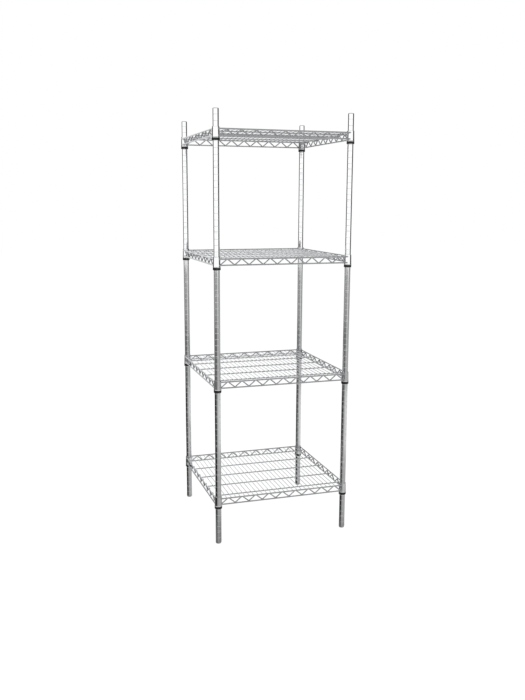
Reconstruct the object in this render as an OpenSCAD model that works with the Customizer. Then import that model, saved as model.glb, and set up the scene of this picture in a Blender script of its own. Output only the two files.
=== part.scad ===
// Four-tier chrome wire shelving unit: four grooved tube posts carry welded wire shelves
// on tapered split sleeves, and stand on screw-in levelling feet.
// Front is -Y, up is +Z, and the origin is on the floor under the middle of the unit.

/* [Overall] */
// Height from the floor to the top of the post caps
total_h = 1805; // [1750:5:2200]
// Distance between the post axes, left to right
span_x = 574; // [480:2:760]
// Distance between the post axes, front to back
span_y = 574; // [480:2:760]
// Ring groove, counted from the bottom, that locates the lowest shelf
first_shelf_groove = 6; // [4:1:10]
// Ring grooves from each of the lower shelves to the next
grooves_per_bay = 20; // [10:1:20]
// The top shelf takes the highest ring groove that is at least this far below the cap's top
top_shelf_drop = 100; // [80:1:200]

/* [Posts] */
// Outside diameter of the post tube
post_d = 25.4; // [24:0.1:26.5]
// Wall of the post tube
post_wall = 1.4; // [1.2:0.1:2.2]
// Distance from one ring groove to the next
groove_pitch = 25.4; // [24:0.1:25.5]
// Height of the lowest ring groove above the floor
first_groove_z = 28; // [24:1:34]
// Width of a ring groove at the tube's surface
groove_w = 2.4; // [1.8:0.1:3]
// Depth of a ring groove
groove_depth = 0.5; // [0.3:0.05:0.7]
// Every so many grooves a second ring marks the height
mark_every = 5; // [4:1:8]
// Distance from a marked groove up to its second ring
mark_rise = 6; // [5:0.5:8]

/* [Caps and feet] */
// Height of the cap that shows above the tube
cap_h = 4; // [3:0.5:8]
// Depth of the cap's plug inside the tube
cap_plug_h = 16; // [10:1:24]
// Thickness of the base insert's rim under the tube
insert_rim_h = 2; // [1.5:0.5:4]
// Depth of the base insert inside the tube
insert_h = 30; // [26:1:40]
// Thread diameter of the levelling foot
foot_thread_d = 9.5; // [8:0.5:12]
// Length of the foot's threaded stem above its base
foot_stem_h = 38; // [34:1:45]
// Height of the foot's hexagonal base
foot_hex_h = 5; // [4:0.5:8]
// Width of the foot's hexagonal base across its corners
foot_hex_d = 24.8; // [20:0.2:25.4]
// Height of the round pad under the hexagon
foot_pad_h = 1.5; // [1:0.5:3]
// Diameter of the round pad
foot_pad_d = 20; // [16:1:21]

/* [Sleeves and collars] */
// Height of the sleeve's lip, which shows under the collar
lip_h = 10; // [8:0.5:12]
// Diameter of the sleeve's lip
lip_d = 32.2; // [31:0.1:32.6]
// Height of the sleeve's cone inside the collar
cone_h = 34; // [28:1:38]
// Diameter of the cone at the lip
cone_low_d = 29.8; // [29.2:0.1:30]
// Diameter of the cone at its top
cone_high_d = 27.4; // [27:0.1:28]
// Height of the rib inside the sleeve above the lip
rib_rise = 12.4; // [8:0.2:20]
// Height of a collar
collar_h = 43; // [40:1:48]
// Outside diameter of a collar at its foot
collar_low_d = 33; // [32.6:0.1:34]
// Outside diameter of a collar at its top
collar_high_d = 30.2; // [29.8:0.1:31]

/* [Shelf wires] */
// Diameter of the rim wires
rim_d = 6; // [5:0.1:6.4]
// Rim wires stand this far outside the post axes
rim_out = 12; // [11:0.1:12.4]
// Height of the lower rim wire above the collar's foot
rim_low_z = 9.6; // [8:0.2:12]
// Distance between the two rim wires
rim_gap = 25.4; // [24:0.2:28]
// Diameter of the zigzag wire
zigzag_d = 5; // [4:0.1:5.4]
// Length of one full wave of the zigzag wire
zigzag_pitch = 61; // [50:1:70]
// Bends of the zigzag stop this far inside the rim wires' centres
zigzag_inset = 2; // [1.5:0.1:3]
// A knuckle of the zigzag wire stands this far proud of the wire
knuckle_extra = 0.2; // [0.1:0.05:0.4]
// Diameter of the support wires under the deck
support_d = 5; // [4:0.1:6]
// Number of support wires
support_count = 5; // [3:2:5]
// Distance between the support wires in the middle of the shelf
support_pitch = 122; // [100:1:122]
// The outer two support wires run this far inside the post axes
support_inset = 43; // [30:1:60]
// Diameter of the deck wires
deck_d = 3; // [2.4:0.1:3.6]
// Distance between the deck wires
deck_pitch = 20; // [16:0.5:26]

/* [Fits] */
// Gap between wires that are welded side by side
weld_gap = 0.05; // [0.02:0.01:0.1]
// Radial gap between a sleeve and its post
sleeve_gap = 0.1; // [0.05:0.05:0.2]
// Radial gap between a collar and its sleeve
collar_gap = 0.2; // [0.1:0.05:0.3]
// Radial gap between the foot's stem and the insert
stem_gap = 0.1; // [0.05:0.05:0.2]
// Radial gap between a plug and the tube it sits in
plug_gap = 0.05; // [0.02:0.01:0.1]
// Gap left between the two halves of a sleeve
split_gap = 0.6; // [0.4:0.1:1.2]

/* [Hidden] */
$fn = 48;
post_r = post_d / 2;
bore_r = post_r - post_wall;
// Heights at the foot of a post
foot_h = foot_pad_h + foot_hex_h;
tube_z = foot_h + insert_rim_h;
tube_top_z = total_h - cap_h;
// Ring grooves
groove_count = floor((tube_top_z - first_groove_z - cap_plug_h) / groove_pitch) + 1;
groove_zs = [for (n = [0 : groove_count - 1]) first_groove_z + n * groove_pitch];
// Each shelf's seat is the top of the sleeve lip that carries its collar
shelf_count = 4;
top_groove = floor((total_h - top_shelf_drop - first_groove_z) / groove_pitch);
shelf_grooves = concat(
    [for (n = [0 : shelf_count - 2]) first_shelf_groove + n * grooves_per_bay],
    [top_groove]);
seat_zs = [for (groove = shelf_grooves) first_groove_z + groove * groove_pitch - rib_rise];
// Cone slope is shared by the sleeve and the collar's bore
cone_slope = (cone_low_d - cone_high_d) / 2 / cone_h;
collar_bore_low_r = cone_low_d / 2 + collar_gap;
// Wire frame
rim_x = span_x / 2 + rim_out;
rim_y = span_y / 2 + rim_out;
rim_high_z = rim_low_z + rim_gap;
zigzag_in = rim_d / 2 + weld_gap + zigzag_d / 2 + knuckle_extra;
support_z = rim_high_z - rim_d / 2 - weld_gap - support_d / 2;
deck_z = support_z + support_d / 2 + weld_gap + deck_d / 2;
support_half = rim_x + rim_d / 2 - 1;
outer_support_y = span_y / 2 - support_inset;
inner_supports = support_count - 2;
support_ys = concat(
    [-outer_support_y],
    [for (n = [0 : inner_supports - 1]) (n - (inner_supports - 1) / 2) * support_pitch],
    [outer_support_y]);
deck_half = rim_y - sqrt(pow(rim_d / 2, 2) - pow(rim_high_z - deck_z - deck_d / 2, 2)) - weld_gap;
deck_count = 2 * floor((rim_x - zigzag_in - zigzag_d / 2 - deck_d) / deck_pitch - 0.5) + 2;
// Corner signs in X and Y
front_left = [-1, -1];
front_right = [1, -1];
back_left = [-1, 1];
back_right = [1, 1];
corners = [front_left, front_right, back_left, back_right];
chrome = [0.80, 0.81, 0.83];
bright = [0.88, 0.89, 0.90];
black = [0.07, 0.07, 0.08];

// Moves its children to one corner's post axis
module at_corner(corner) {
    translate([corner[0] * span_x / 2, corner[1] * span_y / 2, 0]) children();
}

// Points of one ring groove on the tube's outline, going up
function groove_points(z) = [
    [post_r, z - groove_w / 2],
    [post_r - groove_depth, z - groove_w / 4],
    [post_r - groove_depth, z + groove_w / 4],
    [post_r, z + groove_w / 2]
];

// Ring grooves with the marked ones followed by their second ring
ring_zs = [for (n = [0 : groove_count - 1])
    each (n % mark_every == 1 ? [groove_zs[n], groove_zs[n] + mark_rise] : [groove_zs[n]])];

// Chromed steel tube with rolled ring grooves
module post(corner) {
    color(chrome)
    at_corner(corner)
    rotate_extrude()
    polygon(concat(
        [[bore_r, tube_z], [post_r, tube_z]],
        [for (z = ring_zs) each groove_points(z)],
        [[post_r, tube_top_z], [bore_r, tube_top_z]]
    ));
}

// Round cap with a plug pressed into the top of the tube
module cap(corner) {
    edge = 1.5;
    color(bright)
    at_corner(corner)
    rotate_extrude()
    polygon(concat(
        [[0, tube_top_z - cap_plug_h], [bore_r - plug_gap, tube_top_z - cap_plug_h]],
        [[bore_r - plug_gap, tube_top_z], [post_r, tube_top_z]],
        [for (a = [0 : 15 : 90])
            [post_r - edge + edge * cos(a), total_h - edge + edge * sin(a)]],
        [[0, total_h]]
    ));
}

// Bush in the foot of the tube that takes the levelling foot's thread
module insert(corner) {
    color(bright)
    at_corner(corner)
    difference() {
        union() {
            translate([0, 0, foot_h]) cylinder(r = post_r, h = insert_rim_h);
            translate([0, 0, foot_h]) cylinder(r = bore_r - plug_gap, h = insert_rim_h + insert_h);
        }
        translate([0, 0, foot_h - 1])
            cylinder(r = foot_thread_d / 2 + stem_gap, h = insert_rim_h + insert_h + 2);
    }
}

// Levelling foot: round pad, hexagon for a spanner, and stem
module foot(corner) {
    chamfer = 1;
    color(bright)
    at_corner(corner)
    union() {
        cylinder(d = foot_pad_d, h = foot_pad_h);
        translate([0, 0, foot_pad_h]) cylinder(d = foot_hex_d, h = foot_hex_h, $fn = 6);
        translate([0, 0, foot_h]) cylinder(d = foot_thread_d, h = foot_stem_h - chamfer);
        translate([0, 0, foot_h + foot_stem_h - chamfer])
            cylinder(d1 = foot_thread_d, d2 = foot_thread_d - 2 * chamfer, h = chamfer);
    }
}

// One of two tapered half sleeves, with a rib that snaps into a ring groove
module half_sleeve(seat_z, turn) {
    inner_r = post_r + sleeve_gap;
    rib_r = post_r - groove_depth + sleeve_gap;
    rib_half = groove_w / 4;
    step = rib_half - 0.05;
    rotate([0, 0, turn])
    translate([0, split_gap / 2, 0])
    intersection() {
        translate([0, -split_gap / 2, 0])
        rotate_extrude()
        polygon([
            [inner_r, seat_z - lip_h],
            [lip_d / 2, seat_z - lip_h],
            [lip_d / 2, seat_z],
            [cone_low_d / 2, seat_z],
            [cone_high_d / 2, seat_z + cone_h],
            [inner_r, seat_z + cone_h],
            [inner_r, seat_z + rib_rise + rib_half],
            [rib_r, seat_z + rib_rise + step],
            [rib_r, seat_z + rib_rise - step],
            [inner_r, seat_z + rib_rise - rib_half]
        ]);
        translate([-lip_d, 0, seat_z - 2 * lip_h])
            cube([2 * lip_d, lip_d, cone_h + 4 * lip_h]);
    }
}

// Pair of half sleeves at one post and one shelf
module sleeve(level, corner) {
    color(black)
    at_corner(corner)
    for (turn = [0, 180]) half_sleeve(seat_zs[level], turn);
}

// Outer surface of a collar, also used to trim the wires that are welded to it
module collar_body() {
    cylinder(d1 = collar_low_d, d2 = collar_high_d, h = collar_h);
}

// Tapered steel collars that slide over the posts and wedge on the sleeves
module collars(level) {
    over = 1;
    color(bright)
    translate([0, 0, seat_zs[level]])
    for (corner = corners)
    at_corner(corner)
    difference() {
        collar_body();
        translate([0, 0, -over])
            cylinder(r1 = collar_bore_low_r + over * cone_slope,
                r2 = collar_bore_low_r - (collar_h + over) * cone_slope,
                h = collar_h + 2 * over);
    }
}

// Collar bodies at all corners, as the trimming tool for the wires
module collar_trim() {
    for (corner = corners) at_corner(corner) collar_body();
}

// Straight wire along X or Y, centred on its own middle
module wire_x(y, z, half, d) {
    translate([-half, y, z]) rotate([0, 90, 0]) cylinder(d = d, h = 2 * half);
}
module wire_y(x, z, half, d) {
    translate([x, half, z]) rotate([90, 0, 0]) cylinder(d = d, h = 2 * half);
}

// Upper and lower rim wires on the four sides, trimmed to the collars
module rims(level) {
    color(chrome)
    translate([0, 0, seat_zs[level]])
    difference() {
        for (z = [rim_low_z, rim_high_z], side = [-1, 1]) {
            wire_x(side * rim_y, z, span_x / 2, rim_d);
            wire_y(side * rim_x, z, span_y / 2, rim_d);
        }
        collar_trim();
    }
}

// Zigzag wire in the X-Z plane: up = 1 has a high bend at the middle, up = -1 a low one.
// Straight legs meet in round knuckles, and the wire runs on past both collars before trimming.
module zigzag(reach, up) {
    half_pitch = zigzag_pitch / 2;
    rise = rim_gap - 2 * zigzag_inset;
    slope = atan2(rise, half_pitch);
    leg = sqrt(pow(half_pitch, 2) + pow(rise, 2));
    bends = ceil(reach / half_pitch);
    mid_z = (rim_low_z + rim_high_z) / 2;
    for (n = [-bends : bends]) {
        high = (abs(n) % 2 == 0 ? 1 : -1) * up;
        translate([n * half_pitch, 0, mid_z + high * rise / 2])
            rotate([90, 0, 0])
            cylinder(d = zigzag_d + 4 * knuckle_extra, h = zigzag_d + 2 * knuckle_extra, center = true);
        if (n < bends)
            translate([(n + 0.5) * half_pitch, 0, mid_z])
            rotate([0, 90 + high * slope, 0])
            cylinder(d = zigzag_d, h = leg, center = true);
    }
}

// Zigzag wires on the four sides, welded inside the rims and trimmed to the collars
module zigzags(level) {
    back_y = rim_y - zigzag_in;
    side_x = rim_x - zigzag_in;
    color(chrome)
    translate([0, 0, seat_zs[level]]) {
        for (side = [-1, 1]) {
            difference() {
                intersection() {
                    translate([0, side * back_y, 0]) zigzag(span_x / 2, 1);
                    translate([-span_x / 2, side * back_y - zigzag_d, -zigzag_d])
                        cube([span_x, 2 * zigzag_d, rim_high_z + 2 * zigzag_d]);
                }
                collar_trim();
            }
            difference() {
                intersection() {
                    translate([side * side_x, 0, 0]) rotate([0, 0, 90]) zigzag(span_y / 2, -1);
                    translate([side * side_x - zigzag_d, -span_y / 2, -zigzag_d])
                        cube([2 * zigzag_d, span_y, rim_high_z + 2 * zigzag_d]);
                }
                collar_trim();
            }
        }
    }
}

// Support wires run left to right under the deck and are welded under the side rims
module supports(level) {
    color(chrome)
    translate([0, 0, seat_zs[level]])
    for (y = support_ys)
        wire_x(y, support_z, support_half, support_d);
}

// Deck wires run front to back on the support wires, between the upper rims
module deck(level) {
    color(chrome)
    translate([0, 0, seat_zs[level]])
    for (n = [0 : deck_count - 1])
        wire_y((n - (deck_count - 1) / 2) * deck_pitch, deck_z, deck_half, deck_d);
}

post(front_left);  // post_front_left
post(front_right);  // post_front_right
post(back_left);  // post_back_left
post(back_right);  // post_back_right
cap(front_left);  // cap_front_left
cap(front_right);  // cap_front_right
cap(back_left);  // cap_back_left
cap(back_right);  // cap_back_right
insert(front_left);  // insert_front_left
insert(front_right);  // insert_front_right
insert(back_left);  // insert_back_left
insert(back_right);  // insert_back_right
foot(front_left);  // foot_front_left
foot(front_right);  // foot_front_right
foot(back_left);  // foot_back_left
foot(back_right);  // foot_back_right
collars(0);  // shelf_1_collars
rims(0);  // shelf_1_rims
zigzags(0);  // shelf_1_zigzags
supports(0);  // shelf_1_supports
deck(0);  // shelf_1_deck
collars(1);  // shelf_2_collars
rims(1);  // shelf_2_rims
zigzags(1);  // shelf_2_zigzags
supports(1);  // shelf_2_supports
deck(1);  // shelf_2_deck
collars(2);  // shelf_3_collars
rims(2);  // shelf_3_rims
zigzags(2);  // shelf_3_zigzags
supports(2);  // shelf_3_supports
deck(2);  // shelf_3_deck
collars(3);  // shelf_4_collars
rims(3);  // shelf_4_rims
zigzags(3);  // shelf_4_zigzags
supports(3);  // shelf_4_supports
deck(3);  // shelf_4_deck
sleeve(0, front_left);  // sleeve_1_front_left
sleeve(0, front_right);  // sleeve_1_front_right
sleeve(0, back_left);  // sleeve_1_back_left
sleeve(0, back_right);  // sleeve_1_back_right
sleeve(1, front_left);  // sleeve_2_front_left
sleeve(1, front_right);  // sleeve_2_front_right
sleeve(1, back_left);  // sleeve_2_back_left
sleeve(1, back_right);  // sleeve_2_back_right
sleeve(2, front_left);  // sleeve_3_front_left
sleeve(2, front_right);  // sleeve_3_front_right
sleeve(2, back_left);  // sleeve_3_back_left
sleeve(2, back_right);  // sleeve_3_back_right
sleeve(3, front_left);  // sleeve_4_front_left
sleeve(3, front_right);  // sleeve_4_front_right
sleeve(3, back_left);  // sleeve_4_back_left
sleeve(3, back_right);  // sleeve_4_back_right
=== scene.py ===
"""Looks of the four-tier chrome wire shelving unit, dressed over the solids of its frame."""
import math

import bmesh
import bpy
from mathutils import Matrix, Vector


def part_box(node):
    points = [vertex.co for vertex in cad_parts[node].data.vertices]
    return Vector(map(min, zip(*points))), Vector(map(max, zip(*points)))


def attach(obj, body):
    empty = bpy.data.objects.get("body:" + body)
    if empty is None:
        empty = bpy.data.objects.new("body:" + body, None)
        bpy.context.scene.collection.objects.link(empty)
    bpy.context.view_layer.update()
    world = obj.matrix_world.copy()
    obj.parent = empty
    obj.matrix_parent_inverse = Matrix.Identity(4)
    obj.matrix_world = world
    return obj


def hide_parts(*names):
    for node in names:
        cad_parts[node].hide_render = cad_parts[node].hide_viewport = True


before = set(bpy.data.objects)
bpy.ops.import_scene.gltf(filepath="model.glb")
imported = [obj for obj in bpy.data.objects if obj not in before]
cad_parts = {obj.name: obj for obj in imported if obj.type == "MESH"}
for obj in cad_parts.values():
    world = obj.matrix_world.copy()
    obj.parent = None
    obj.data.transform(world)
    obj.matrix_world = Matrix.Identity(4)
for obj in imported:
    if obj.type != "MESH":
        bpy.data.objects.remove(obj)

MM = 0.001
UP = Vector((0, 0, 1))
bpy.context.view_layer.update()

CORNERS = ("front_left", "front_right", "back_left", "back_right")
SHELVES = (1, 2, 3, 4)
# The way outwards from a shelf's front, back, left and right
SIDES = ((0, -1), (0, 1), (-1, 0), (1, 0))


def middle(node):
    low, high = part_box(node)
    return (low + high) / 2


def size(node):
    low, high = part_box(node)
    return high - low


# Posts, placed and sized by the frame
POST_AT = {corner: middle("post_" + corner).to_2d() for corner in CORNERS}
HALF_X = POST_AT["front_right"].x
HALF_Y = POST_AT["back_right"].y
POST_R = size("post_front_left").x / 2
TUBE_LOW, TUBE_HIGH = (end.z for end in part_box("post_front_left"))
CAP_LOW, CAP_TOP = (end.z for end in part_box("cap_front_left"))
TUBE_WALL = 1.4 * MM
TUBE_EDGE = 0.3 * MM

# Ring grooves, drawn as fine as they look on the plated tube
GROOVE_PITCH = 25.4 * MM
GROOVE_LOW = 28.0 * MM
GROOVE_W = 1.1 * MM
GROOVE_DEPTH = 0.11 * MM
# A second ring stands above every fifth groove, from the second groove up
MARK_EVERY = 5
FIRST_MARK = 1
MARK_RISE = 6.0 * MM
# Height in half widths and share of the depth; the outer points keep the tube between grooves straight
GROOVE_SHAPE = (
    (-1.6, 0.0), (-1.3, 0.0), (-0.9, 0.12), (-0.45, 0.82), (0.0, 1.0),
    (0.45, 0.82), (0.9, 0.12), (1.3, 0.0), (1.6, 0.0),
)

# Plugs of the caps and inserts, and the top of a cap
PLUG_GAP = 0.05 * MM
PLUG_R = POST_R - TUBE_WALL - PLUG_GAP
PLUG_WALL = 1.2 * MM
PLUG_CHAMFER = 0.6 * MM
CAP_SHOULDER_R = 2.8 * MM
CAP_DISH = 0.7 * MM
# Where the dish begins: how far in from the tube's surface, and how far down
DISH_EDGE = ((4.2 * MM, 0.15 * MM), (5.2 * MM, 0.6 * MM))
INSERT_EDGE_R = 0.5 * MM

# Levelling feet
PAD_R = 10.0 * MM
PAD_H = 1.5 * MM
PAD_EDGE_R = 0.45 * MM
HEX_R = 12.4 * MM
HEX_H = 5.0 * MM
HEX_BEVEL = 0.6 * MM
FOOT_H = PAD_H + HEX_H
STEM_R = 4.75 * MM
STEM_GAP = 0.1 * MM
STEM_TIP_H = 1.0 * MM
STEM_TIP_IN = 0.8 * MM
THREAD_PITCH = 1.5 * MM
THREAD_DEPTH = 0.75 * MM
THREAD_ROOT_IN = 0.05 * MM
# The thread starts this far above the hexagon and leaves this much of the stem plain in all
THREAD_RISE = 0.6 * MM
THREAD_CLEAR = 2.5 * MM
THREAD_STEPS = 20

# Split sleeves
LIP_H = 10.0 * MM
LIP_R = 16.1 * MM
LIP_FOOT_H = 1.2 * MM
LIP_FOOT_IN = 0.5 * MM
CONE_LOW_R = 14.9 * MM
CONE_HIGH_R = 13.7 * MM
CONE_H = 34.0 * MM
SLEEVE_BORE_R = POST_R + 0.1 * MM
SLEEVE_EDGE_R = 0.4 * MM
SPLIT_GAP = 0.6 * MM

# Collars, whose bores have the taper of the sleeves
SEAT_Z = {shelf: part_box(f"shelf_{shelf}_collars")[0].z for shelf in SHELVES}
COLLAR_H = size("shelf_1_collars").z
COLLAR_LOW_R = size("shelf_1_collars").x / 2 - HALF_X
COLLAR_HIGH_R = 15.1 * MM
COLLAR_BORE_LOW_R = 15.1 * MM
COLLAR_BORE_HIGH_R = COLLAR_BORE_LOW_R - COLLAR_H * (CONE_LOW_R - CONE_HIGH_R) / CONE_H
COLLAR_EDGE_R = 0.7 * MM
# Rolled bead at a collar's foot: its height, where it has run out, and how far it stands out
BEAD_H = 2.6 * MM
BEAD_END = 3.6 * MM
BEAD_OUT = 0.45 * MM

# Rim wires, with heights above a shelf's seat
RIM_D = 6.0 * MM
RIM_X, RIM_Y = (edge - RIM_D / 2 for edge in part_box("shelf_1_rims")[1].to_2d())
# How far outside the posts' axes the rim wires run
RIM_OUT = RIM_X - HALF_X
RIM_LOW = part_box("shelf_1_rims")[0].z + RIM_D / 2 - SEAT_Z[1]
RIM_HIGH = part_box("shelf_1_rims")[1].z - RIM_D / 2 - SEAT_Z[1]
# The straight stretch stops this far from the post's axis; the rest is shaped to the collar
RIM_TRIM = 20.0 * MM
# A coped end goes this deep into the collar's wall, and comes no nearer to the post's axis than this
COPE_DEPTH = 0.35 * MM
COPE_LEAST = 1.5 * MM

# Zigzag wires
ZIGZAG_D = 5.0 * MM
ZIGZAG_PITCH = 61.0 * MM
ZIGZAG_RUN = ZIGZAG_PITCH / 2
# The bends' middles stop this far short of the rim wires' middles
ZIGZAG_INSET = 2.0 * MM
ZIGZAG_RISE = RIM_HIGH - RIM_LOW - 2 * ZIGZAG_INSET
ZIGZAG_IN = 5.75 * MM
BEND_R = 6.0 * MM
# How far the outermost bends and the wire's ends stay from the post's axis
BEND_CLEAR = 14.0 * MM
ZIGZAG_CLEAR = 14.6 * MM

# Support wires and deck wires
SUPPORT_D = size("shelf_1_supports").z
SUPPORT_Z = middle("shelf_1_supports").z - SEAT_Z[1]
SUPPORT_HALF = size("shelf_1_supports").x / 2
SUPPORT_COUNT = 5
SUPPORT_PITCH = (size("shelf_1_supports").y - SUPPORT_D) / (SUPPORT_COUNT - 1)
SUPPORT_CHAMFER = 0.5 * MM
DECK_D = size("shelf_1_deck").z
DECK_Z = middle("shelf_1_deck").z - SEAT_Z[1]
DECK_HALF = size("shelf_1_deck").y / 2
DECK_PITCH = 20.0 * MM
DECK_COUNT = round((size("shelf_1_deck").x - DECK_D) / DECK_PITCH) + 1
DECK_CHAMFER = 0.25 * MM

# Weld metal: its half sizes along the wire, across it and upwards
RIM_WELD = (1.6 * MM, 2.6 * MM, 3.3 * MM)
BEND_WELD = (3.2 * MM, 1.3 * MM, 1.6 * MM)
SUPPORT_WELD = (1.6 * MM, 2.8 * MM, 1.1 * MM)
CROSSING_WELD = (2.1 * MM, 2.1 * MM, 0.75 * MM)
DECK_END_WELD = (1.2 * MM, 1.9 * MM, 1.5 * MM)
# Where weld metal lies from a rim wire's middle: inwards, and up or down towards the zigzag's middle
RIM_WELD_IN = 1.2 * MM
BEND_WELD_IN = 3.1 * MM
BEND_WELD_TO_MIDDLE = 1.1 * MM
# The supports' welds lie just inside the rim wires' middles
SUPPORT_WELD_X = 0.996 * RIM_X
# The welds at the deck wires' ends stand this far above the wires' middles
DECK_WELD_UP = 0.5 * MM

# Sides of each kind of round shape, and steps of each kind of curve
POST_SIDES = 48
FITTING_SIDES = 40
PAD_SIDES = 36
STEM_SIDES = 24
HALF_SLEEVE_STEPS = 20
RIM_SIDES = 20
SUPPORT_SIDES = 16
THIN_WIRE_SIDES = 12
BEND_STEPS = 5
SHOULDER_STEPS = 6

# Vertices closer than this are one
MERGE_DISTANCE = 1e-6
# A rounded corner takes at most this share of the straight stretches beside it
LARGEST_CUT = 0.45
# A straight stretch longer than this many radii gets a point this many cuts from its corner
LONG_STRETCH = 4
GUARD_POINT = 1.5

# Camera: where the photograph was taken from
CAMERA_AT = Vector((-1.0885, -3.3918, 1.4499))
CAMERA_YAW = math.radians(-17.80)
CAMERA_PITCH = math.radians(-10.674)
CAMERA_ROLL = math.radians(0.22)
CAMERA_LENS = 40.71
FILM_WIDTH = 36.0
VIEW_DEPTH = 60.0

# Studio
FLOOR_HALF = 20.0
FLOOR_GLOW = 1.13
# Share of the floor's white that hides its shading; the rest keeps the unit's shadow
FLOOR_SHARE = 0.80
ROOM_LIGHT = 0.75
UNIT_MIDDLE = Vector((0, 0, 0.9))
# Length of one band of a wave texture at a scale of 1, in metres
WAVE_LENGTH = math.pi / 10


def add_camera():
    """The camera that took the photograph, found from the posts and the sleeves' lips."""
    data = bpy.data.cameras.new("camera")
    data.lens = CAMERA_LENS
    data.sensor_width = FILM_WIDTH
    data.clip_end = VIEW_DEPTH
    camera = bpy.data.objects.new("camera", data)
    turn = (
        Matrix.Rotation(CAMERA_YAW, 4, "Z")
        @ Matrix.Rotation(math.radians(90) + CAMERA_PITCH, 4, "X")
        @ Matrix.Rotation(CAMERA_ROLL, 4, "Z")
    )
    camera.matrix_world = Matrix.Translation(CAMERA_AT) @ turn
    bpy.context.scene.collection.objects.link(camera)
    bpy.context.scene.camera = camera


# Node helpers
def linear(hex_colour):
    """An sRGB hex colour as the linear values that a shader reads."""
    parts = [int(hex_colour[i:i + 2], 16) / 255 for i in (1, 3, 5)]
    parts = [p / 12.92 if p <= 0.04045 else ((p + 0.055) / 1.055) ** 2.4 for p in parts]
    return (*parts, 1.0)


def noise_scale(feature_mm):
    """Scale at which a noise texture's features are feature_mm across."""
    return 1 / (feature_mm * MM)


def add_node(tree, kind, inputs=None, stops=None, **settings):
    """Adds a node with its settings. inputs gives each input another node's output or a plain
    value, and stops are the places and colours of a colour ramp."""
    node = tree.nodes.new(kind)
    for key, value in settings.items():
        setattr(node, key, value)
    for key, source in (inputs or {}).items():
        if isinstance(source, bpy.types.NodeSocket):
            tree.links.new(source, node.inputs[key])
        else:
            node.inputs[key].default_value = source
    if stops:
        points = node.color_ramp.elements
        while len(points) < len(stops):
            points.new(0.5)
        for point, (place, colour) in zip(points, stops):
            point.position = place
            point.color = colour
    return node


def new_material(name):
    material = bpy.data.materials.new(name)
    material.use_nodes = True
    tree = material.node_tree
    coords = add_node(tree, "ShaderNodeTexCoord").outputs["Object"]
    return material, tree, tree.nodes["Principled BSDF"], coords


def link_surface(tree, shader, tint, rough, bump):
    """Gives a shader its colour, roughness and bumps from the nodes that make them."""
    tree.links.new(tint.outputs["Color"], shader.inputs["Base Color"])
    tree.links.new(rough.outputs[0], shader.inputs["Roughness"])
    tree.links.new(bump.outputs[0], shader.inputs["Normal"])


def chromed_steel(name, colours, roughness, ripple, drawn=(1.0, 1.0, 1.0)):
    """Bright chromium plate over drawn or rolled steel: a mirror a little softened by polishing
    lines, with faint clouding where the plate is thinner. drawn is the lines' scale along X, Y and
    Z, small along the way the steel was rolled."""
    material, tree, shader, coords = new_material(name)
    shader.inputs["Metallic"].default_value = 1.0
    stretched = add_node(tree, "ShaderNodeMapping", {"Vector": coords, "Scale": drawn})
    # Polishing lines are about 0.5 mm apart, drawn at 4 mm so that they show
    lines = add_node(tree, "ShaderNodeTexNoise", {
        "Vector": stretched.outputs[0], "Scale": noise_scale(4.0), "Detail": 3.0,
    })
    # Clouding of the plate, in patches of 62.5 mm
    clouds = add_node(tree, "ShaderNodeTexNoise", {
        "Vector": coords, "Scale": noise_scale(62.5), "Detail": 4.0,
    })
    tint = add_node(
        tree, "ShaderNodeValToRGB", {"Fac": clouds.outputs["Fac"]},
        stops=[(0.30, linear(colours[0])), (0.70, linear(colours[1]))],
    )
    rough = add_node(tree, "ShaderNodeMapRange", {
        "Value": lines.outputs["Fac"], "From Min": 0.3, "From Max": 0.7,
        "To Min": roughness[0], "To Max": roughness[1],
    })
    bump = add_node(tree, "ShaderNodeBump", {
        "Height": lines.outputs["Fac"], "Strength": ripple, "Distance": 0.2 * MM,
    })
    link_surface(tree, shader, tint, rough, bump)
    return material


def zinc_plated_steel():
    """Turned steel with zinc plate: paler and duller than chrome, with fine rings from the lathe."""
    material, tree, shader, coords = new_material("zinc_plated_steel")
    shader.inputs["Metallic"].default_value = 1.0
    # Lathe rings are about 0.1 mm apart, drawn at 1 mm so that they show
    rings = add_node(
        tree, "ShaderNodeTexWave",
        {"Vector": coords, "Scale": WAVE_LENGTH / (1.0 * MM), "Distortion": 0.6}, bands_direction="Z",
    )
    # Spangle of the zinc, in grains of 5.5 mm
    spangle = add_node(tree, "ShaderNodeTexNoise", {
        "Vector": coords, "Scale": noise_scale(5.5), "Detail": 2.0,
    })
    tint = add_node(
        tree, "ShaderNodeValToRGB", {"Fac": spangle.outputs["Fac"]},
        stops=[(0.35, linear("#B9BCC0")), (0.65, linear("#D3D5D8"))],
    )
    rough = add_node(tree, "ShaderNodeMapRange", {
        "Value": spangle.outputs["Fac"], "To Min": 0.24, "To Max": 0.40,
    })
    bump = add_node(tree, "ShaderNodeBump", {
        "Height": rings.outputs["Fac"], "Strength": 0.15, "Distance": 0.1 * MM,
    })
    link_surface(tree, shader, tint, rough, bump)
    return material


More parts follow.
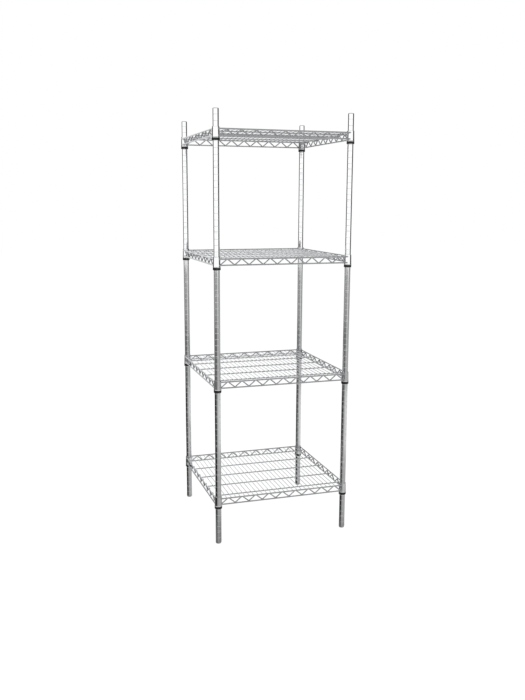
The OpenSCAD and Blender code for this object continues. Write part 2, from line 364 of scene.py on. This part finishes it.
def moulded_black_plastic():
    """Injection-moulded black ABS: satin, with a fine spark-eroded grain and slight flow marks."""
    material, tree, shader, coords = new_material("moulded_black_plastic")
    shader.inputs["IOR"].default_value = 1.54
    # Mould grain of about 0.3 mm, drawn at 1 mm so that it shows
    grain = add_node(tree, "ShaderNodeTexNoise", {
        "Vector": coords, "Scale": noise_scale(1.0), "Detail": 2.0,
    })
    # Flow marks, 16 mm apart
    flow = add_node(tree, "ShaderNodeTexNoise", {
        "Vector": coords, "Scale": noise_scale(16.0), "Detail": 3.0,
    })
    tint = add_node(
        tree, "ShaderNodeValToRGB", {"Fac": flow.outputs["Fac"]},
        stops=[(0.35, linear("#0D0D0E")), (0.65, linear("#171718"))],
    )
    rough = add_node(tree, "ShaderNodeMapRange", {
        "Value": flow.outputs["Fac"], "To Min": 0.38, "To Max": 0.52,
    })
    bump = add_node(tree, "ShaderNodeBump", {
        "Height": grain.outputs["Fac"], "Strength": 0.2, "Distance": 0.1 * MM,
    })
    link_surface(tree, shader, tint, rough, bump)
    return material


# Mesh helpers
def finish_mesh(bm, name, material, smooth_angle):
    """Turns a bmesh into a smooth mesh with sharp edges where it turns more than smooth_angle."""
    bmesh.ops.remove_doubles(bm, verts=bm.verts, dist=MERGE_DISTANCE)
    bmesh.ops.recalc_face_normals(bm, faces=bm.faces)
    mesh = bpy.data.meshes.new(name)
    bm.to_mesh(mesh)
    bm.free()
    mesh.shade_smooth()
    mesh.set_sharp_from_angle(angle=math.radians(smooth_angle))
    mesh.materials.append(material)
    return mesh


def place_piece(mesh, name, body, replaced):
    """Makes a piece that rides on a body and replaces a node."""
    piece = bpy.data.objects.new(name, mesh)
    bpy.context.scene.collection.objects.link(piece)
    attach(piece, body)
    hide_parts(replaced)


def finish_piece(bm, name, body, material, replaced, smooth_angle=35.0):
    """Makes a bmesh one piece of the unit."""
    place_piece(finish_mesh(bm, name, material, smooth_angle), name, body, replaced)


def on_each_shelf(bm, part, node, material, smooth_angle=35.0):
    """Copies a part, built with its seat at height 0, to the seats of the four shelves."""
    mesh = finish_mesh(bm, part, material, smooth_angle)
    for shelf in SHELVES:
        copied = mesh.copy()
        copied.name = f"shelf_{shelf}_{part}"
        copied.transform(Matrix.Translation((0, 0, SEAT_Z[shelf])))
        place_piece(copied, f"shelf_{shelf}_{part}", f"shelf_{shelf}", f"shelf_{shelf}_{node}")
    bpy.data.meshes.remove(mesh)


def only_edges(geometry):
    return [item for item in geometry if isinstance(item, bmesh.types.BMEdge)]


def ring_verts(edges):
    return list({vert for edge in edges for vert in edge.verts})


def cap_ring(bm, edges):
    """Closes the hole inside a ring of edges."""
    bmesh.ops.holes_fill(bm, edges=edges, sides=0)


def spin_outline(bm, outline, at, steps, closed=True, angle=2 * math.pi, start=0.0):
    """Spins an outline of (radius, height) points about a vertical axis through at. Returns the
    outline's edges where the spin starts and where it ends."""
    axis = Vector((*at, 0))
    way = Vector((math.cos(start), math.sin(start), 0))
    verts = [bm.verts.new(axis + way * r + UP * z) for r, z in outline]
    edges = [bm.edges.new(pair) for pair in zip(verts, verts[1:])]
    if closed:
        edges.append(bm.edges.new((verts[-1], verts[0])))
    last = bmesh.ops.spin(
        bm, geom=verts + edges, cent=axis, axis=UP, angle=angle, steps=steps,
        use_merge=angle == 2 * math.pi, use_duplicate=False,
    )["geom_last"]
    return edges, only_edges(last)


def rounded(outline, radius, steps=3, closed=True):
    """The outline with each corner cut back by radius and rounded; an open one keeps its two ends.
    A point just beyond each curve keeps the straight stretches straight under smooth shading."""
    points = [Vector(point) for point in outline]
    ends = () if closed else (points[0], points[-1])
    out = []
    for before, here, after in zip(points[-1:] + points[:-1], points, points[1:] + points[:1]):
        if any(here is end for end in ends):
            out.append(tuple(here))
            continue
        back = before - here
        ahead = after - here
        cut = min(radius, back.length * LARGEST_CUT, ahead.length * LARGEST_CUT)
        first = here + back.normalized() * cut
        last = here + ahead.normalized() * cut
        shares = [step / steps for step in range(steps + 1)]
        curve = [first.lerp(here, t).lerp(here.lerp(last, t), t) for t in shares]
        if back.length > LONG_STRETCH * radius:
            curve.insert(0, here + back.normalized() * GUARD_POINT * cut)
        if ahead.length > LONG_STRETCH * radius:
            curve.append(here + ahead.normalized() * GUARD_POINT * cut)
        out += [tuple(point) for point in curve]
    return out


def wire_ring(bm, at, way, diameter, sides):
    """A round ring of edges across a wire that runs along way."""
    turn = way.to_track_quat("Z", "Y").to_matrix().to_4x4()
    verts = bmesh.ops.create_circle(
        bm, segments=sides, radius=diameter / 2, cap_ends=False,
        matrix=Matrix.Translation(at) @ turn,
    )["verts"]
    return list({edge for vert in verts for edge in vert.link_edges})


def grow_ring(bm, edges, move):
    """Extrudes a ring of edges and moves it; returns the new ring's edges."""
    made = bmesh.ops.extrude_edge_only(bm, edges=edges)["geom"]
    verts = [item for item in made if isinstance(item, bmesh.types.BMVert)]
    bmesh.ops.translate(bm, verts=verts, vec=move)
    return [edge for edge in only_edges(made) if all(vert in verts for vert in edge.verts)]


def spread_ring(bm, edges, centre, factor):
    """Widens or narrows a ring of edges about its centre."""
    bmesh.ops.scale(
        bm, verts=ring_verts(edges), vec=(factor, factor, factor), space=Matrix.Translation(-centre),
    )


def bend_ring(bm, edges, centre, axis, angle):
    """Spins a ring of edges about a bend's centre; returns the last ring's edges."""
    return only_edges(bmesh.ops.spin(
        bm, geom=ring_verts(edges) + edges, cent=centre, axis=axis, angle=angle, steps=BEND_STEPS,
        use_merge=False, use_duplicate=False,
    )["geom_last"])


def straight_wire(bm, start, end, diameter, sides, chamfer):
    """A straight drawn wire with its sheared ends slightly rounded."""
    way = (end - start).normalized()
    narrow = diameter - 2 * chamfer
    first = wire_ring(bm, start, way, narrow, sides)
    full = grow_ring(bm, first, way * chamfer)
    spread_ring(bm, full, start + way * chamfer, diameter / narrow)
    far = grow_ring(bm, full, end - start - way * 2 * chamfer)
    tip = grow_ring(bm, far, way * chamfer)
    spread_ring(bm, tip, end, narrow / diameter)
    cap_ring(bm, first)
    cap_ring(bm, tip)


def weld_bead(bm, at, half_sizes, axis=0):
    """A small flattened lump of weld metal on a wire that runs along X (0) or Y (1)."""
    along, across, upwards = half_sizes
    flat = (along, across) if axis == 0 else (across, along)
    shape = Matrix.Translation(at) @ Matrix.Diagonal((*flat, upwards, 1.0))
    bmesh.ops.create_uvsphere(bm, u_segments=8, v_segments=5, radius=1.0, matrix=shape)


# Posts, caps, inserts and feet
def groove_heights():
    """Heights of the ring grooves below the cap's plug, with a second ring above every fifth."""
    plug_h = TUBE_HIGH - CAP_LOW
    count = int((TUBE_HIGH - GROOVE_LOW - plug_h) / GROOVE_PITCH) + 1
    heights = []
    for n in range(count):
        height = GROOVE_LOW + n * GROOVE_PITCH
        heights.append(height)
        if n % MARK_EVERY == FIRST_MARK:
            heights.append(height + MARK_RISE)
    return heights


def make_post(corner, material):
    """Rolled tube whose ring grooves have soft shoulders, as rolling leaves them."""
    bore = POST_R - TUBE_WALL
    edge_r = POST_R - TUBE_EDGE
    outline = [(bore, TUBE_LOW), (edge_r, TUBE_LOW), (POST_R, TUBE_LOW + TUBE_EDGE)]
    for height in groove_heights():
        for rise, depth in GROOVE_SHAPE:
            outline.append((POST_R - depth * GROOVE_DEPTH, height + rise * GROOVE_W / 2))
    outline += [(POST_R, TUBE_HIGH - TUBE_EDGE), (edge_r, TUBE_HIGH), (bore, TUBE_HIGH)]
    bm = bmesh.new()
    spin_outline(bm, outline, POST_AT[corner], POST_SIDES)
    finish_piece(bm, f"post_tube_{corner}", "posts", material, f"post_{corner}")


def make_cap(corner, material):
    """Pressed cap with a soft shoulder, a shallow dish and a hollow plug inside the tube."""
    inside_r = PLUG_R - PLUG_WALL
    roof = CAP_TOP - CAP_DISH - PLUG_WALL
    outline = [(0.0, roof), (inside_r, roof), (inside_r, CAP_LOW), (PLUG_R, CAP_LOW + PLUG_CHAMFER)]
    outline += [(PLUG_R, TUBE_HIGH), (POST_R, TUBE_HIGH)]
    for step in range(SHOULDER_STEPS + 1):
        turn = math.radians(90) * step / SHOULDER_STEPS
        outline.append((
            POST_R - CAP_SHOULDER_R * (1 - math.cos(turn)),
            CAP_TOP - CAP_SHOULDER_R * (1 - math.sin(turn)),
        ))
    outline += [(POST_R - inwards, CAP_TOP - down) for inwards, down in DISH_EDGE]
    outline.append((0.0, CAP_TOP - CAP_DISH))
    bm = bmesh.new()
    spin_outline(bm, outline, POST_AT[corner], FITTING_SIDES, closed=False)
    finish_piece(bm, f"post_cap_{corner}", "posts", material, f"cap_{corner}")


def make_insert(corner, material):
    """Bush with a rounded rim under the tube, a straight plug and a bore for the foot's thread."""
    low, high = (end.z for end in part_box(f"insert_{corner}"))
    bore = STEM_R + STEM_GAP
    outline = rounded([
        (bore, low), (POST_R, low), (POST_R, TUBE_LOW), (PLUG_R, TUBE_LOW), (PLUG_R, high), (bore, high),
    ], INSERT_EDGE_R)
    bm = bmesh.new()
    spin_outline(bm, outline, POST_AT[corner], FITTING_SIDES)
    finish_piece(bm, f"foot_insert_{corner}", "posts", material, f"insert_{corner}")


def add_thread(bm, at, root_r, top):
    """A helical ridge round the foot's stem, closed at both ends."""
    start = FOOT_H + THREAD_RISE
    turns = int((top - FOOT_H - THREAD_CLEAR) / THREAD_PITCH)
    inside = root_r - THREAD_ROOT_IN
    # Radius and share of the pitch at the four corners of the ridge
    ridge = [(inside, 0.01), (STEM_R, 0.44), (STEM_R, 0.56), (inside, 0.99)]
    axis = Vector((*at, 0))
    verts = [bm.verts.new(axis + Vector((r, 0, start + share * THREAD_PITCH))) for r, share in ridge]
    edges = [bm.edges.new(pair) for pair in zip(verts, verts[1:] + verts[:1])]
    last = bmesh.ops.spin(
        bm, geom=verts + edges, cent=axis, axis=UP, dvec=(0, 0, THREAD_PITCH / THREAD_STEPS),
        angle=2 * math.pi * turns, steps=THREAD_STEPS * turns, use_merge=False, use_duplicate=False,
    )["geom_last"]
    cap_ring(bm, edges)
    cap_ring(bm, only_edges(last))


def make_foot(corner, material):
    """Levelling foot: round pad, hexagon with eased edges, and a stem with a real thread."""
    at = POST_AT[corner]
    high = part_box(f"foot_{corner}")[1].z
    bm = bmesh.new()
    pad = [(0.0, 0.0), (PAD_R, 0.0), (PAD_R, PAD_H), (0.0, PAD_H)]
    spin_outline(bm, rounded(pad, PAD_EDGE_R, closed=False), at, PAD_SIDES, closed=False)
    hexagon = bmesh.ops.create_cone(
        bm, cap_ends=True, segments=6, radius1=HEX_R, radius2=HEX_R, depth=HEX_H,
        matrix=Matrix.Translation((*at, PAD_H + HEX_H / 2)) @ Matrix.Rotation(math.radians(90), 4, "Z"),
    )["verts"]
    bmesh.ops.bevel(
        bm, geom=list({edge for vert in hexagon for edge in vert.link_edges}), offset=HEX_BEVEL,
        offset_type="OFFSET", segments=3, profile=0.5, affect="EDGES", material=-1, clamp_overlap=True,
    )
    root_r = STEM_R - THREAD_DEPTH
    core = [
        (0.0, FOOT_H), (root_r, FOOT_H), (root_r, high - STEM_TIP_H), (root_r - STEM_TIP_IN, high),
        (0.0, high),
    ]
    spin_outline(bm, core, at, STEM_SIDES, closed=False)
    add_thread(bm, at, root_r, high)
    finish_piece(
        bm, f"levelling_foot_{corner}", f"foot_{corner}", material, f"foot_{corner}",
        smooth_angle=30.0,
    )


# Shelves
def make_collars(material):
    """Four tapered collars with a rolled bead at the foot and a rounded top."""
    outline = rounded([
        (COLLAR_BORE_LOW_R, 0.0),
        (COLLAR_LOW_R, 0.0),
        (COLLAR_LOW_R, BEAD_H),
        (COLLAR_LOW_R - BEAD_OUT, BEAD_END),
        (COLLAR_HIGH_R, COLLAR_H),
        (COLLAR_BORE_HIGH_R, COLLAR_H),
    ], COLLAR_EDGE_R)
    bm = bmesh.new()
    for corner in CORNERS:
        spin_outline(bm, outline, POST_AT[corner], FITTING_SIDES)
    on_each_shelf(bm, "corner_collars", "collars", material)


def collar_radius(height):
    """Outer radius of a collar at a height above its seat."""
    return COLLAR_LOW_R + (COLLAR_HIGH_R - COLLAR_LOW_R) * height / COLLAR_H


def side_line(side):
    """A side's axis (0 for X, 1 for Y), the way along it, and half the distance between its posts."""
    if side[0] == 0:
        return 0, Vector((1, 0, 0)), HALF_X
    return 1, Vector((0, 1, 0)), HALF_Y


def rim_point(side, height):
    """The middle of a side's rim wire at a height."""
    x, y = side
    return Vector((x * RIM_X, y * RIM_Y, height))


def cope_end(verts, axis, collar_r):
    """Moves the end of a wire along an axis onto the round wall of a collar."""
    across = 1 - axis
    post = (HALF_X, HALF_Y)
    for vert in verts:
        aside = vert.co[across] - math.copysign(post[across], vert.co[across])
        reach = math.sqrt(max(collar_r ** 2 - aside ** 2, COPE_LEAST ** 2))
        vert.co[axis] = math.copysign(post[axis] - reach, vert.co[axis])


def make_rims(material):
    """Upper and lower rim wires on four sides, coped and welded to the collars."""
    bm = bmesh.new()
    for height in (RIM_LOW, RIM_HIGH):
        wall = collar_radius(height) - COPE_DEPTH
        weld_reach = math.sqrt(wall ** 2 - (RIM_OUT - RIM_WELD_IN) ** 2)
        for side in SIDES:
            axis, along, half = side_line(side)
            at = rim_point(side, height)
            weld_at = at - Vector((*side, 0)) * RIM_WELD_IN
            near = wire_ring(bm, at - along * (half - RIM_TRIM), along, RIM_D, RIM_SIDES)
            far = grow_ring(bm, near, along * 2 * (half - RIM_TRIM))
            for ring, way in ((near, -along), (far, along)):
                coped = grow_ring(bm, ring, Vector())
                cope_end(ring_verts(coped), axis, wall)
                cap_ring(bm, coped)
                weld_bead(bm, weld_at + way * (half - weld_reach), RIM_WELD, axis)
    on_each_shelf(bm, "rim_wires", "rims", material)


def leg_slope():
    """Slope of a zigzag's leg, which is tangent to the two bends that it joins."""
    drop = ZIGZAG_RISE - 2 * BEND_R
    reach = math.hypot(ZIGZAG_RUN, drop)
    return math.asin(2 * BEND_R / reach) + math.atan2(drop, ZIGZAG_RUN)


def zigzag_bends(side):
    """Places of a zigzag's bends along its side, and whether each is high (1) or low (-1)."""
    axis, _, half = side_line(side)
    last = int((half - BEND_CLEAR) / ZIGZAG_RUN)
    middle_bend = 1 if axis == 0 else -1
    return [(n * ZIGZAG_RUN, middle_bend * (-1) ** abs(n)) for n in range(-last, last + 1)]


def zigzag_wire(bm, side):
    """One zigzag wire: bends with their own radius joined by straight legs, inside the rims."""
    _, along, half = side_line(side)
    bends = zigzag_bends(side)
    line = rim_point(side, (RIM_LOW + RIM_HIGH) / 2) - Vector((*side, 0)) * ZIGZAG_IN
    slope = leg_slope()
    level = along * math.cos(slope)
    steep = UP * math.sin(slope)
    leg = (ZIGZAG_RUN - 2 * BEND_R * math.sin(slope)) / math.cos(slope)
    stub = (half - ZIGZAG_CLEAR - bends[-1][0] - BEND_R * math.sin(slope)) / math.cos(slope)

    def bend_centre(place, high):
        return line + along * place + UP * high * (ZIGZAG_RISE / 2 - BEND_R)

    # The wire starts at one end, on the way to its first bend
    place, high = bends[0]
    way = level + steep * high
    normal = UP * high * math.cos(slope) - along * math.sin(slope)
    start = bend_centre(place, high) + normal * BEND_R - way * stub
    edges = wire_ring(bm, start, way, ZIGZAG_D, THIN_WIRE_SIDES)
    cap_ring(bm, edges)
    edges = grow_ring(bm, edges, way * stub)
    for place, high in bends:
        edges = bend_ring(bm, edges, bend_centre(place, high), along.cross(UP), -high * 2 * slope)
        length = stub if place == bends[-1][0] else leg
        edges = grow_ring(bm, edges, (level - steep * high) * length)
    cap_ring(bm, edges)


def bend_welds(bm, side):
    """Weld metal between each bend of a zigzag and the rim wire beside it."""
    axis, along, _ = side_line(side)
    inwards = -Vector((*side, 0))
    for place, high in zigzag_bends(side):
        rim = rim_point(side, RIM_HIGH if high > 0 else RIM_LOW)
        at = rim + along * place + inwards * BEND_WELD_IN - UP * high * BEND_WELD_TO_MIDDLE
        weld_bead(bm, at, BEND_WELD, axis)


def make_zigzags(material):
    """Zigzag wires on four sides, welded to the rim wires at every bend."""
    bm = bmesh.new()
    for side in SIDES:
        zigzag_wire(bm, side)
        bend_welds(bm, side)
    on_each_shelf(bm, "zigzag_wires", "zigzags", material, smooth_angle=50.0)


def spaced(count, pitch):
    """Places of count wires, pitch apart, about the middle."""
    return [(n - (count - 1) / 2) * pitch for n in range(count)]


def make_supports(material):
    """Support wires welded under the side rims."""
    bm = bmesh.new()
    for y in spaced(SUPPORT_COUNT, SUPPORT_PITCH):
        left = Vector((-SUPPORT_HALF, y, SUPPORT_Z))
        right = Vector((SUPPORT_HALF, y, SUPPORT_Z))
        straight_wire(bm, left, right, SUPPORT_D, SUPPORT_SIDES, SUPPORT_CHAMFER)
        for x in (-SUPPORT_WELD_X, SUPPORT_WELD_X):
            weld_bead(bm, Vector((x, y, SUPPORT_Z + SUPPORT_D / 2)), SUPPORT_WELD)
    on_each_shelf(bm, "support_wires", "supports", material)


def make_deck(material):
    """Deck wires butted to the rims, with the weld metal squeezed out at every crossing."""
    bm = bmesh.new()
    for x in spaced(DECK_COUNT, DECK_PITCH):
        front = Vector((x, -DECK_HALF, DECK_Z))
        back = Vector((x, DECK_HALF, DECK_Z))
        straight_wire(bm, front, back, DECK_D, THIN_WIRE_SIDES, DECK_CHAMFER)
        for y in spaced(SUPPORT_COUNT, SUPPORT_PITCH):
            weld_bead(bm, Vector((x, y, DECK_Z - DECK_D / 2)), CROSSING_WELD)
        for end in (front, back):
            weld_bead(bm, end + UP * DECK_WELD_UP, DECK_END_WELD, axis=1)
    on_each_shelf(bm, "deck_wires", "deck", material)


# Split sleeves
def make_sleeve(shelf, corner, material):
    """Two moulded half sleeves, each with a lip with a rounded edge and a cone above it."""
    seat = SEAT_Z[shelf]
    outline = rounded([
        (SLEEVE_BORE_R, seat - LIP_H),
        (LIP_R - LIP_FOOT_IN, seat - LIP_H),
        (LIP_R, seat - LIP_H + LIP_FOOT_H),
        (LIP_R, seat),
        (CONE_LOW_R, seat),
        (CONE_HIGH_R, seat + CONE_H),
        (SLEEVE_BORE_R, seat + CONE_H),
    ], SLEEVE_EDGE_R)
    bm = bmesh.new()
    half_gap = SPLIT_GAP / LIP_R / 2
    for start in (0.0, math.pi):
        ends = spin_outline(
            bm, outline, POST_AT[corner], HALF_SLEEVE_STEPS,
            angle=math.pi - 2 * half_gap, start=start + half_gap,
        )
        for end in ends:
            cap_ring(bm, end)
    finish_piece(
        bm, f"split_sleeve_{shelf}_{corner}", "posts", material,
        f"sleeve_{shelf}_{corner}",
    )


# Studio
def at_side(side):
    """Place on a ramp round the set, from behind it on the left (0) to behind it on the right (1),
    of what a round post mirrors at a side of its width, from its left edge (-1) to its right (1)."""
    return 0.5 + math.asin(side) / math.pi


def studio_bands():
    """What stands round the set at each height: the lowest and highest degrees of the edge above a
    band, and the band's brightness at some sides of a round post."""
    return [
        # Floor close to the unit, dim on the left and brighter round to the right
        (-40.0, -28.0, [(0.0, 0.14), (1.0, 1.0)]),
        # Floor between the unit and the camera
        (-23.4, -22.0, [
            (-0.95, 0.5), (-0.8, 0.14), (-0.35, 0.16), (0.0, 0.32), (0.6, 0.18), (0.9, 0.28),
        ]),
        # Black sheet lying on the left, pale sheet on the right
        (-18.6, -17.4, [
            (-0.985, 0.95), (-0.96, 0.3), (-0.8, 0.06), (-0.5, 0.0), (-0.38, 0.02), (-0.1, 0.36),
            (0.9, 0.42),
        ]),
        (-14.2, -12.6, [
            (-0.985, 0.95), (-0.96, 0.3), (-0.85, 0.01), (-0.48, 0.01), (0.0, 0.42), (0.35, 0.66),
            (0.9, 0.70),
        ]),
        # Edge of the white sweep, in shade on the left
        (-9.6, -8.0, [
            (-0.985, 0.95), (-0.96, 0.3), (-0.8, 0.13), (-0.12, 0.14), (0.15, 0.48), (0.5, 0.36),
            (0.9, 0.46),
        ]),
        (-4.8, -4.2, [
            (-0.985, 0.95), (-0.96, 0.35), (-0.8, 0.28), (0.05, 0.32), (0.3, 0.72), (0.5, 0.34),
            (0.8, 0.30), (0.97, 0.5),
        ]),
        # White sweep between two black flags
        (11.0, 25.0, [
            (-0.965, 1.0), (-0.93, 0.06), (-0.72, 0.05), (-0.64, 1.15), (0.53, 1.15), (0.60, 0.20),
            (0.70, 0.05), (0.93, 0.06), (0.965, 1.0),
        ]),
        # Dim ceiling, to straight overhead
        (90.0, 90.0, [(-0.965, 1.0), (-0.93, 0.15), (0.93, 0.15), (0.965, 1.0)]),
    ]


def add_world():
    """A white studio. Glossy rays meet its white wall above the horizon, black flags that stand
    beside the set, and the darker room below the horizon, which is what chrome shows."""
    world = bpy.data.worlds.new("studio")
    bpy.context.scene.world = world
    world.use_nodes = True
    tree = world.node_tree
    tree.nodes.clear()
    coords = add_node(tree, "ShaderNodeTexCoord")
    # Turned so that +Y points away from the photograph's viewpoint
    turned = add_node(
        tree, "ShaderNodeVectorRotate", {"Vector": coords.outputs["Generated"], "Angle": -CAMERA_YAW},
        rotation_type="Z_AXIS",
    )
    parts = add_node(tree, "ShaderNodeSeparateXYZ", {"Vector": turned.outputs[0]})
    flipped = add_node(tree, "ShaderNodeMath", {0: parts.outputs["Y"], 1: -1.0}, operation="MULTIPLY")
    bearing = add_node(
        tree, "ShaderNodeMath", {0: parts.outputs["X"], 1: flipped.outputs[0]}, operation="ARCTAN2",
    )
    around = add_node(tree, "ShaderNodeMapRange", {
        "Value": bearing.outputs[0], "From Min": -math.pi, "From Max": math.pi,
    })
    bands = studio_bands()
    rings = [
        add_node(
            tree, "ShaderNodeValToRGB", {"Fac": around.outputs[0]},
            stops=[(at_side(side), (grey, grey, grey, 1.0)) for side, grey in sides],
        ).outputs["Color"]
        for low, high, sides in bands
    ]
    seen = rings[0]
    for (low, high, sides), above in zip(bands, rings[1:]):
        share = add_node(
            tree, "ShaderNodeMapRange", {
                "Value": parts.outputs["Z"],
                "From Min": math.sin(math.radians(low)), "From Max": math.sin(math.radians(high)),
            }, interpolation_type="SMOOTHSTEP",
        )
        seen = add_node(
            tree, "ShaderNodeMix", {0: share.outputs[0], 6: seen, 7: above}, data_type="RGBA",
        ).outputs[2]
    studio = add_node(tree, "ShaderNodeBackground", {"Color": seen, "Strength": 1.0})
    white = add_node(tree, "ShaderNodeBackground", {"Color": linear("#FFFFFF"), "Strength": 1.0})
    room = add_node(tree, "ShaderNodeBackground", {"Color": linear("#F4F6F8"), "Strength": ROOM_LIGHT})
    path = add_node(tree, "ShaderNodeLightPath")
    glossy = add_node(tree, "ShaderNodeMixShader", {
        0: path.outputs["Is Glossy Ray"], 1: room.outputs[0], 2: studio.outputs[0],
    })
    clear = add_node(
        tree, "ShaderNodeMath",
        {0: path.outputs["Is Camera Ray"], 1: path.outputs["Is Transmission Ray"]}, operation="MAXIMUM",
    )
    shown = add_node(tree, "ShaderNodeMixShader", {
        0: clear.outputs[0], 1: glossy.outputs[0], 2: white.outputs[0],
    })
    add_node(tree, "ShaderNodeOutputWorld", {"Surface": shown.outputs[0]})


def add_floor():
    """A white floor that the camera sees as white, and that keeps a trace of the unit's shadow."""
    bm = bmesh.new()
    bmesh.ops.create_grid(bm, x_segments=1, y_segments=1, size=FLOOR_HALF)
    mesh = bpy.data.meshes.new("studio_floor")
    bm.to_mesh(mesh)
    bm.free()
    floor = bpy.data.objects.new("studio_floor", mesh)
    bpy.context.scene.collection.objects.link(floor)
    material, tree, shader, _ = new_material("white_studio_floor")
    shader.inputs["Base Color"].default_value = linear("#E6E6E6")
    shader.inputs["Roughness"].default_value = 0.9
    shader.inputs["Specular IOR Level"].default_value = 0.0
    glow = add_node(tree, "ShaderNodeEmission", {"Strength": FLOOR_GLOW})
    path = add_node(tree, "ShaderNodeLightPath")
    seen = add_node(
        tree, "ShaderNodeMath",
        {0: path.outputs["Is Camera Ray"], 1: path.outputs["Is Transmission Ray"]}, operation="MAXIMUM",
    )
    share = add_node(tree, "ShaderNodeMath", {0: seen.outputs[0], 1: FLOOR_SHARE}, operation="MULTIPLY")
    both = add_node(tree, "ShaderNodeMixShader", {
        0: share.outputs[0], 1: shader.outputs[0], 2: glow.outputs[0],
    })
    tree.links.new(both.outputs[0], tree.nodes["Material Output"].inputs["Surface"])
    mesh.materials.append(material)
    floor.visible_glossy = False


def add_lamp(name, at, extent, power):
    """A softbox that faces the middle of the unit and that the chrome doesn't show."""
    data = bpy.data.lights.new(name, "AREA")
    data.shape = "RECTANGLE"
    data.size, data.size_y = extent
    data.energy = power
    lamp = bpy.data.objects.new(name, data)
    lamp.location = at
    lamp.rotation_euler = (UNIT_MIDDLE - Vector(at)).to_track_quat("-Z", "Y").to_euler()
    lamp.visible_glossy = False
    bpy.context.scene.collection.objects.link(lamp)


add_camera()
add_world()
add_floor()
add_lamp("key_softbox", at=(-2.2, -2.6, 3.0), extent=(1.6, 1.6), power=60.0)
add_lamp("fill_softbox", at=(2.6, -1.8, 1.8), extent=(1.4, 2.0), power=25.0)

tube_chrome = chromed_steel(
    "chromed_rolled_tube", colours=("#F2F3F4", "#F8F8F9"), roughness=(0.05, 0.10), ripple=0.10,
    drawn=(1.0, 1.0, 0.15),
)
truss_chrome = chromed_steel(
    "chromed_drawn_wire", colours=("#CDCFD2", "#DADBDD"), roughness=(0.07, 0.14), ripple=0.12,
)
deck_chrome = chromed_steel(
    "chromed_fine_drawn_wire", colours=("#E0E2E4", "#EAEBED"), roughness=(0.07, 0.14), ripple=0.12,
)
fitting_chrome = chromed_steel(
    "chromed_pressed_steel", colours=("#F0F1F2", "#F7F7F8"), roughness=(0.07, 0.13), ripple=0.12,
)
zinc = zinc_plated_steel()
plastic = moulded_black_plastic()

for corner in CORNERS:
    make_post(corner, tube_chrome)
    make_cap(corner, fitting_chrome)
    make_insert(corner, zinc)
    make_foot(corner, zinc)
    for shelf in SHELVES:
        make_sleeve(shelf, corner, plastic)
make_collars(fitting_chrome)
make_rims(truss_chrome)
make_zigzags(truss_chrome)
make_supports(truss_chrome)
make_deck(deck_chrome)

bpy.context.scene.view_settings.view_transform = "Standard"
